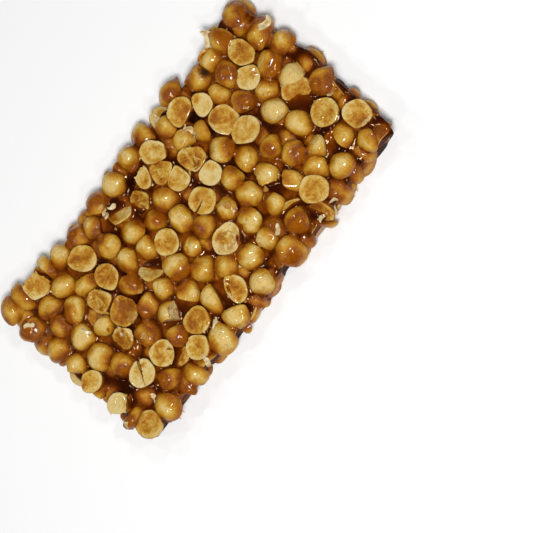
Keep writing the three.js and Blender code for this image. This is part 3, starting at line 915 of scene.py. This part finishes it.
crumbs = {
    "uneven": 0.06, "bend": 0.35, "placedSunk": 0.3, "placedTurn": 50,
    "pressed": [((0.5, 0, 0), (1, 0.2, 0)), ((0, 0.6, 0), (-0.3, 1, 0.4)), ((0, 0, 0.55), (0.2, 0.1, 1)),
                ((-0.6, 0, 0), (-1, 0.3, -0.2))],
    # the others lie where they are drawn, if that is clear of the grams
    "tries": 60, "firstDraw": 9000, "least": 0.3, "most": 0.8, "sunk": 0.35, "clear": 0.25, "firstSeed": 20,
    "places": [(8.9, -5.0, 1.3), (-28.2, -8.8, 1.3), (-20.8, -1.0, 0.9), (6.6, -16.6, 1.1), (-4.9, -12.2, 1.0),
               (-26.8, -3.4, 1.7), (17.6, -9.2, 1.0), (-11.2, 19.6, 1.0), (22.0, -10.2, 0.8)],
}


def makeFlake():
    pick()
    bpy.ops.mesh.primitive_circle_add(vertices=flakes["corners"], radius=0.5, fill_type="NGON")
    flake = bpy.context.object
    setMode("EDIT")
    bpy.ops.transform.vertex_random(offset=flakes["uneven"], seed=5)
    bpy.ops.transform.resize(value=(1, flakes["width"], 0))
    for ring in range(2):
        bpy.ops.mesh.inset(thickness=flakes["rim"], use_even_offset=False)
    bpy.ops.mesh.poke()
    chooseAll()
    bpy.ops.mesh.subdivide(number_cuts=1)
    for level, lift in flakes["curl"]:
        choose(flake, "VERT", lambda point: abs(point.co.x) > level)
        move(0, 0, lift)
    setMode("OBJECT")
    return flake


def makeCrumb():
    pick()
    bpy.ops.mesh.primitive_ico_sphere_add(subdivisions=2, radius=1)
    crumb = bpy.context.object
    setMode("EDIT")
    for at, outwards in crumbs["pressed"]:
        press(crumb, at, outwards)
    chooseAll()
    bpy.ops.transform.vertex_random(offset=crumbs["uneven"], seed=2)
    setMode("OBJECT")
    return crumb


def surfaceAt(x, y):  # the topmost point there and the way it faces
    start = Vector((x, y, slab["thickness"] * 2)) * mm
    hits = [tree.ray_cast(start, Vector((0, 0, -1))) for tree in (caramelTree, gramTree)]
    hits = [hit for hit in hits if hit[0]]
    return max(hits, key=lambda hit: hit[0].z) if hits else None


def stick(shape, x, y, size, turn, lift, number, bend):  # a copy of the shape on the surface, with its own bends
    hit = surfaceAt(x, y)
    if not hit:
        return None
    place, normal = hit[0], hit[1]
    copy = duplicate(shape)
    seed = Vector((number * 5.3, number * 2.9, 0))
    for point in copy.data.vertices:
        point.co += noise.noise_vector(point.co * flakes["bendSize"] + seed) * bend
    lean = Vector((0, 0, 1)).lerp(normal, flakes["lean"]).to_track_quat("Z", "Y").to_matrix().to_4x4()
    spin = Matrix.Rotation(math.radians(turn), 4, "Z")
    copy.data.transform(Matrix.Translation(place + normal * lift * mm) @ lean @ spin @ Matrix.Scale(size * mm, 4))
    for point in copy.data.vertices:  # nothing stands up far above the grams
        point.co.z -= max(0, point.co.z - flakes["highest"] * mm) * flakes["held"]
    return copy


flake = makeFlake()
stuck = [stick(flake, x - middle.x, y - middle.y, size, turn, flakes["lift"], k, flakes["bend"])
         for k, (x, y, size, turn) in enumerate(flakes["places"])]
flakePiece = joinAll([one for one in stuck if one], "skinFlakes")
finishWith(flakePiece, "SOLIDIFY", thickness=flakes["thickness"] * mm, offset=1)
crumb = makeCrumb()
stuck = [stick(crumb, x - middle.x, y - middle.y, size, k * crumbs["placedTurn"], -crumbs["placedSunk"] * size, k,
               crumbs["bend"])
         for k, (x, y, size) in enumerate(crumbs["places"])]
for k in range(crumbs["tries"]):
    first = crumbs["firstDraw"] + k * 4
    x, y = (draw(first) - 0.5) * slab["length"], (draw(first + 1) - 0.5) * slab["width"]
    size = crumbs["least"] + (crumbs["most"] - crumbs["least"]) * draw(first + 2) ** 2
    hit = surfaceAt(x, y)
    if hit and gramTree.find_nearest(hit[0])[3] > crumbs["clear"] * mm:
        stuck.append(stick(crumb, x, y, size, draw(first + 3) * 360, -crumbs["sunk"] * size,
                           k + crumbs["firstSeed"], crumbs["bend"]))
crumbPiece = joinAll([one for one in stuck if one], "crumbs")
for shape in (flake, crumb):
    bpy.data.objects.remove(shape)
for piece in (flakePiece, crumbPiece):
    smoothByAngle(piece, flakes["smoothUnder"])
setValues(crumbPiece, own=0.3, high=0.8, flat=0.3, raw=0.2, spread=0.5, pale=0.3, burnt=0, wet=0)
print("stuck on", len(flakePiece.data.polygons), "faces of flakes,", len(crumbPiece.data.polygons), "of crumbs")


# materials
class Wire:  # one output of a node; + - * on it add Math nodes
    def __init__(self, finish, socket):
        self.finish, self.socket = finish, socket

    def maths(self, operation, *values):
        return self.finish.node("ShaderNodeMath", {"operation": operation}, dict(enumerate(values)))

    def __add__(self, other):
        return self.maths("ADD", self, other)

    def __radd__(self, other):
        return self.maths("ADD", other, self)

    def __sub__(self, other):
        return self.maths("SUBTRACT", self, other)

    def __rsub__(self, other):
        return self.maths("SUBTRACT", other, self)

    def __mul__(self, other):
        return self.maths("MULTIPLY", self, other)

    def __rmul__(self, other):
        return self.maths("MULTIPLY", other, self)

    def clamped(self):
        return self.finish.node("ShaderNodeClamp", {}, {"Value": self})


class Finish:  # a material; node() adds any node, its settings first and then its sockets
    def __init__(self, name, **fixed):
        self.material = bpy.data.materials.new(name)
        self.material.use_nodes = True
        self.tree = self.material.node_tree
        self.shader = self.tree.nodes["Principled BSDF"]
        for socket, value in fixed.items():
            self.shader.inputs[socket.replace("_", " ")].default_value = value

    def node(self, kind, settings, sockets, output=0):
        node = self.tree.nodes.new(kind)
        for key, value in settings.items():
            if key == "stops":
                ramp = node.color_ramp
                for place, colour in value[1:-1]:
                    ramp.elements.new(place)
                for element, (place, colour) in zip(ramp.elements, value):
                    element.position, element.color = place, (*colour, 1)
            else:
                setattr(node, key, value)
        for socket, value in sockets.items():
            self.put(node.inputs[socket], value)
        return Wire(self, node.outputs[output])

    def put(self, socket, value):
        if isinstance(value, Wire):
            self.tree.links.new(value.socket, socket)
        else:
            socket.default_value = (*value, 1) if isinstance(value, tuple) and len(value) == 3 \
                and socket.type == "RGBA" else value

    def feed(self, name, value):  # of the shader
        self.put(self.shader.inputs[name], value)

    def attribute(self, name):
        return self.node("ShaderNodeAttribute", {"attribute_name": name}, {}, 2)

    def noise(self, size, detail=2, roughness=0.5, distortion=0):  # size of a blot in millimetres
        place = self.node("ShaderNodeTexCoord", {}, {}, 3)
        return self.node("ShaderNodeTexNoise", {}, {"Vector": place, "Scale": 1 / (size * mm), "Detail": detail,
                                                    "Roughness": roughness, "Distortion": distortion})

    def ramp(self, value, low, high):  # 0 below low and 1 above high, eased between
        return self.node("ShaderNodeMapRange", {"interpolation_type": "SMOOTHSTEP"},
                         {"Value": value, "From Min": low, "From Max": high})

    def colours(self, value, stops):
        return self.node("ShaderNodeValToRGB", {"stops": stops}, {"Fac": value})

    def mix(self, share, first, second):
        return self.node("ShaderNodeMix", {"data_type": "RGBA"}, {0: share, 6: first, 7: second}, 2)

    def bump(self, height, depth, strength=1):
        self.feed("Normal", self.node(
            "ShaderNodeBump", {}, {"Height": height, "Distance": depth * mm, "Strength": strength}))


caramelColours = [  # by the depth of caramel over the nearest gram, and darker still where painted shade is added in the gaps and holes
    (0, (0.30, 0.088, 0.003)), (0.14, (0.225, 0.054, 0.002)), (0.28, (0.12, 0.023, 0.001)),
    (0.42, (0.068, 0.011, 0.0007)), (0.6, (0.041, 0.006, 0.0005)), (1, (0.023, 0.0034, 0.0004)),
]
skinFilmAndShadeColours = [  # by how far the gram stands out of the caramel: browner where the caramel film runs thicker, and partly painted light, the crown lighter as if lit and the low sides darker with painted shade
    (0, (0.23, 0.053, 0.0015)), (0.13, (0.30, 0.083, 0.0022)), (0.31, (0.39, 0.137, 0.0045)),
    (0.54, (0.50, 0.228, 0.014)), (0.82, (0.59, 0.348, 0.053)), (1, (0.68, 0.48, 0.16)),
]
faceColours = [  # of the flat face, from its dry parts to those that soaked up caramel
    (0, (0.70, 0.53, 0.225)), (0.3, (0.63, 0.42, 0.11)), (0.52, (0.54, 0.284, 0.033)),
    (0.75, (0.43, 0.172, 0.01)), (1, (0.28, 0.078, 0.0035)),
]
gramColours = {"brown": (0.26, 0.075, 0.004), "raw": (0.72, 0.57, 0.27), "burnt": (0.024, 0.008, 0.004)}
burntSpot = (0.0298, 0.0198, 0.009)
flakeColours = {"cream": (0.68, 0.56, 0.32), "stained": (0.50, 0.28, 0.07)}


def makeCaramel():
    finish = Finish("hardCaramel", IOR=1.45, Specular_IOR_Level=0.4, Specular_Tint=(1, 0.75, 0.5, 1))
    cover = finish.attribute("cover")
    uneven = finish.noise(1.6, 3) - 0.5
    # the gap term and the holes' extra cover add painted shade to the depth
    depth = (cover * 0.75 + finish.attribute("gap") * 0.22 + uneven * 0.4).clamped()
    finish.feed("Base Color", finish.colours(depth, caramelColours))
    finish.feed("Roughness", 0.04 + finish.attribute("steep") * 0.9)
    finish.bump(finish.noise(1.2, 2), 0.08, 0.8)
    return finish.material


def makeGramSkin():
    finish = Finish("roastedGram", IOR=1.45, Coat_Roughness=0.06, Specular_IOR_Level=0.3,
                    Specular_Tint=(1, 0.85, 0.6, 1), Subsurface_Weight=0.1, Subsurface_Scale=0.0008)
    own, high, flat, raw = (finish.attribute(name) for name in ("own", "high", "flat", "raw"))
    spread, pale, burnt, wet = (finish.attribute(name) for name in ("spread", "pale", "burnt", "wet"))
    blots = finish.noise(2.4, 3, 0.55, 0.6)
    specks = finish.noise(0.5, 4, 0.65)
    streaks = finish.noise(1.1, 3, 0.6, 1.5)
    # partly painted light: this lightens the crowns and darkens the sides down to the caramel, beside the real
    # film
    standing = (high - own * 0.9 + pale * 0.8 + blots * 1.8 + specks * 0.6 - 1.2) * 0.42
    skin = finish.colours(standing.clamped(), skinFilmAndShadeColours)
    skin = finish.mix(finish.ramp(streaks, 0.56, 0.68) * 0.4, skin, gramColours["brown"])
    dryRim = finish.ramp(spread, 0.55, 0.9) * 0.3
    soaked = (finish.noise(4.5, 2) - 0.5) * 1.4 + (blots - 0.5) * 1.5
    soaked = soaked + (streaks - 0.5) * 0.7 + (specks - 0.5) * 0.6
    soaked = soaked + own * 0.4 + wet * 0.2 - pale * 0.22 - dryRim + 0.42
    face = finish.colours(soaked.clamped(), faceColours)
    face = finish.mix(finish.ramp(standing, -0.3, -0.12), gramColours["brown"], face)
    colour = finish.mix(flat, skin, face)
    crumbly = finish.ramp(streaks + specks * 0.3, 0.5, 0.7)
    colour = finish.mix(raw * (1 - crumbly * 0.7), colour, gramColours["raw"])
    place = finish.node("ShaderNodeTexCoord", {}, {}, 3)
    spot = finish.node("ShaderNodeVectorMath", {"operation": "DISTANCE"}, {0: place, 1: burntSpot}, 1)
    fromSpot = spot * 1000 + specks * 1.6 + streaks * 1.6
    colour = finish.mix(burnt * (1 - finish.ramp(fromSpot, 3.0, 4.6)), colour, gramColours["brown"])
    colour = finish.mix(burnt * (1 - finish.ramp(fromSpot, 2.2, 3.5)), colour, gramColours["burnt"])
    finish.feed("Base Color", colour)
    film = 1 - finish.ramp(standing, 0.0, 0.25)
    finish.feed("Roughness", 0.3 + film * 0.2 + specks * 0.2)
    glazed = finish.ramp(blots * 0.5 + streaks * 0.5, 0.45, 0.54) * (1 - flat * 0.4)
    finish.feed("Coat Weight", (glazed * 0.55 + film * 0.4 + wet * 0.6).clamped())
    fine = finish.noise(0.3, 2) * 0.25 + flat * specks * 0.7
    finish.bump(finish.noise(0.7, 3, 0.6) + streaks * 0.8 + fine, 0.4, 0.8)
    return finish.material


def makeFlakeSkin():
    finish = Finish("paperySkin", Roughness=0.45, Coat_Weight=0.3, Coat_Roughness=0.15)
    stains = finish.ramp(finish.noise(1.2, 3), 0.45, 0.7)
    colour = finish.mix(stains, flakeColours["cream"], flakeColours["stained"])
    finish.feed("Base Color", colour)
    finish.bump(finish.noise(0.5, 2), 0.1, 0.5)
    return finish.material


def dress(piece, material):
    piece.data.materials.clear()
    piece.data.materials.append(material)
    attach(piece, "root")


gramSkinMaterial = makeGramSkin()
for piece in gramPieces:
    dress(piece, gramSkinMaterial)
dress(crumbPiece, gramSkinMaterial)
dress(flakePiece, makeFlakeSkin())
dress(caramelPiece, makeCaramel())
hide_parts("brittle")
print("dressed the pieces")

# floor and lights
studio = {
    "floorSize": 3.0, "floorColour": (0.93, 0.93, 0.93), "world": 0.055,
    "key": {"at": (0.03, -0.17, 0.50), "size": 0.10, "power": 2.07},
    "sparks": 6, "sparkRing": 0.3, "sparkHeight": 0.42, "sparkSize": 0.024, "sparkPower": 0.175,
}


def addFloor():
    bpy.ops.object.select_all(action="DESELECT")
    bpy.ops.mesh.primitive_plane_add(size=studio["floorSize"])
    floor = bpy.context.object
    floor.name = "floor"
    finish = Finish("paleFloor", Roughness=0.9, Base_Color=(*studio["floorColour"], 1))
    floor.data.materials.append(finish.material)


def addLight(name, at, size, power):
    light = bpy.data.objects.new(name, bpy.data.lights.new(name, "AREA"))
    bpy.context.scene.collection.objects.link(light)
    light.data.size, light.data.energy = size, power
    light.location = at
    light.rotation_euler = (-Vector(at)).to_track_quat("-Z", "Y").to_euler()


addFloor()
addLight("key", **studio["key"])
for k in range(studio["sparks"]):  # small bright lamps all round, for the glints on the caramel
    turn = 2 * math.pi * (k + 0.5) / studio["sparks"]
    place = (studio["sparkRing"] * math.cos(turn), studio["sparkRing"] * math.sin(turn), studio["sparkHeight"])
    addLight(f"spark{k}", place, studio["sparkSize"], studio["sparkPower"])
world = bpy.data.worlds.new("studio")
bpy.context.scene.world = world
world.use_nodes = True
world.node_tree.nodes["Background"].inputs["Strength"].default_value = studio["world"]
world.node_tree.nodes["Background"].inputs["Color"].default_value = (1, 1, 1, 1)
bpy.context.scene.view_settings.view_transform = "Standard"
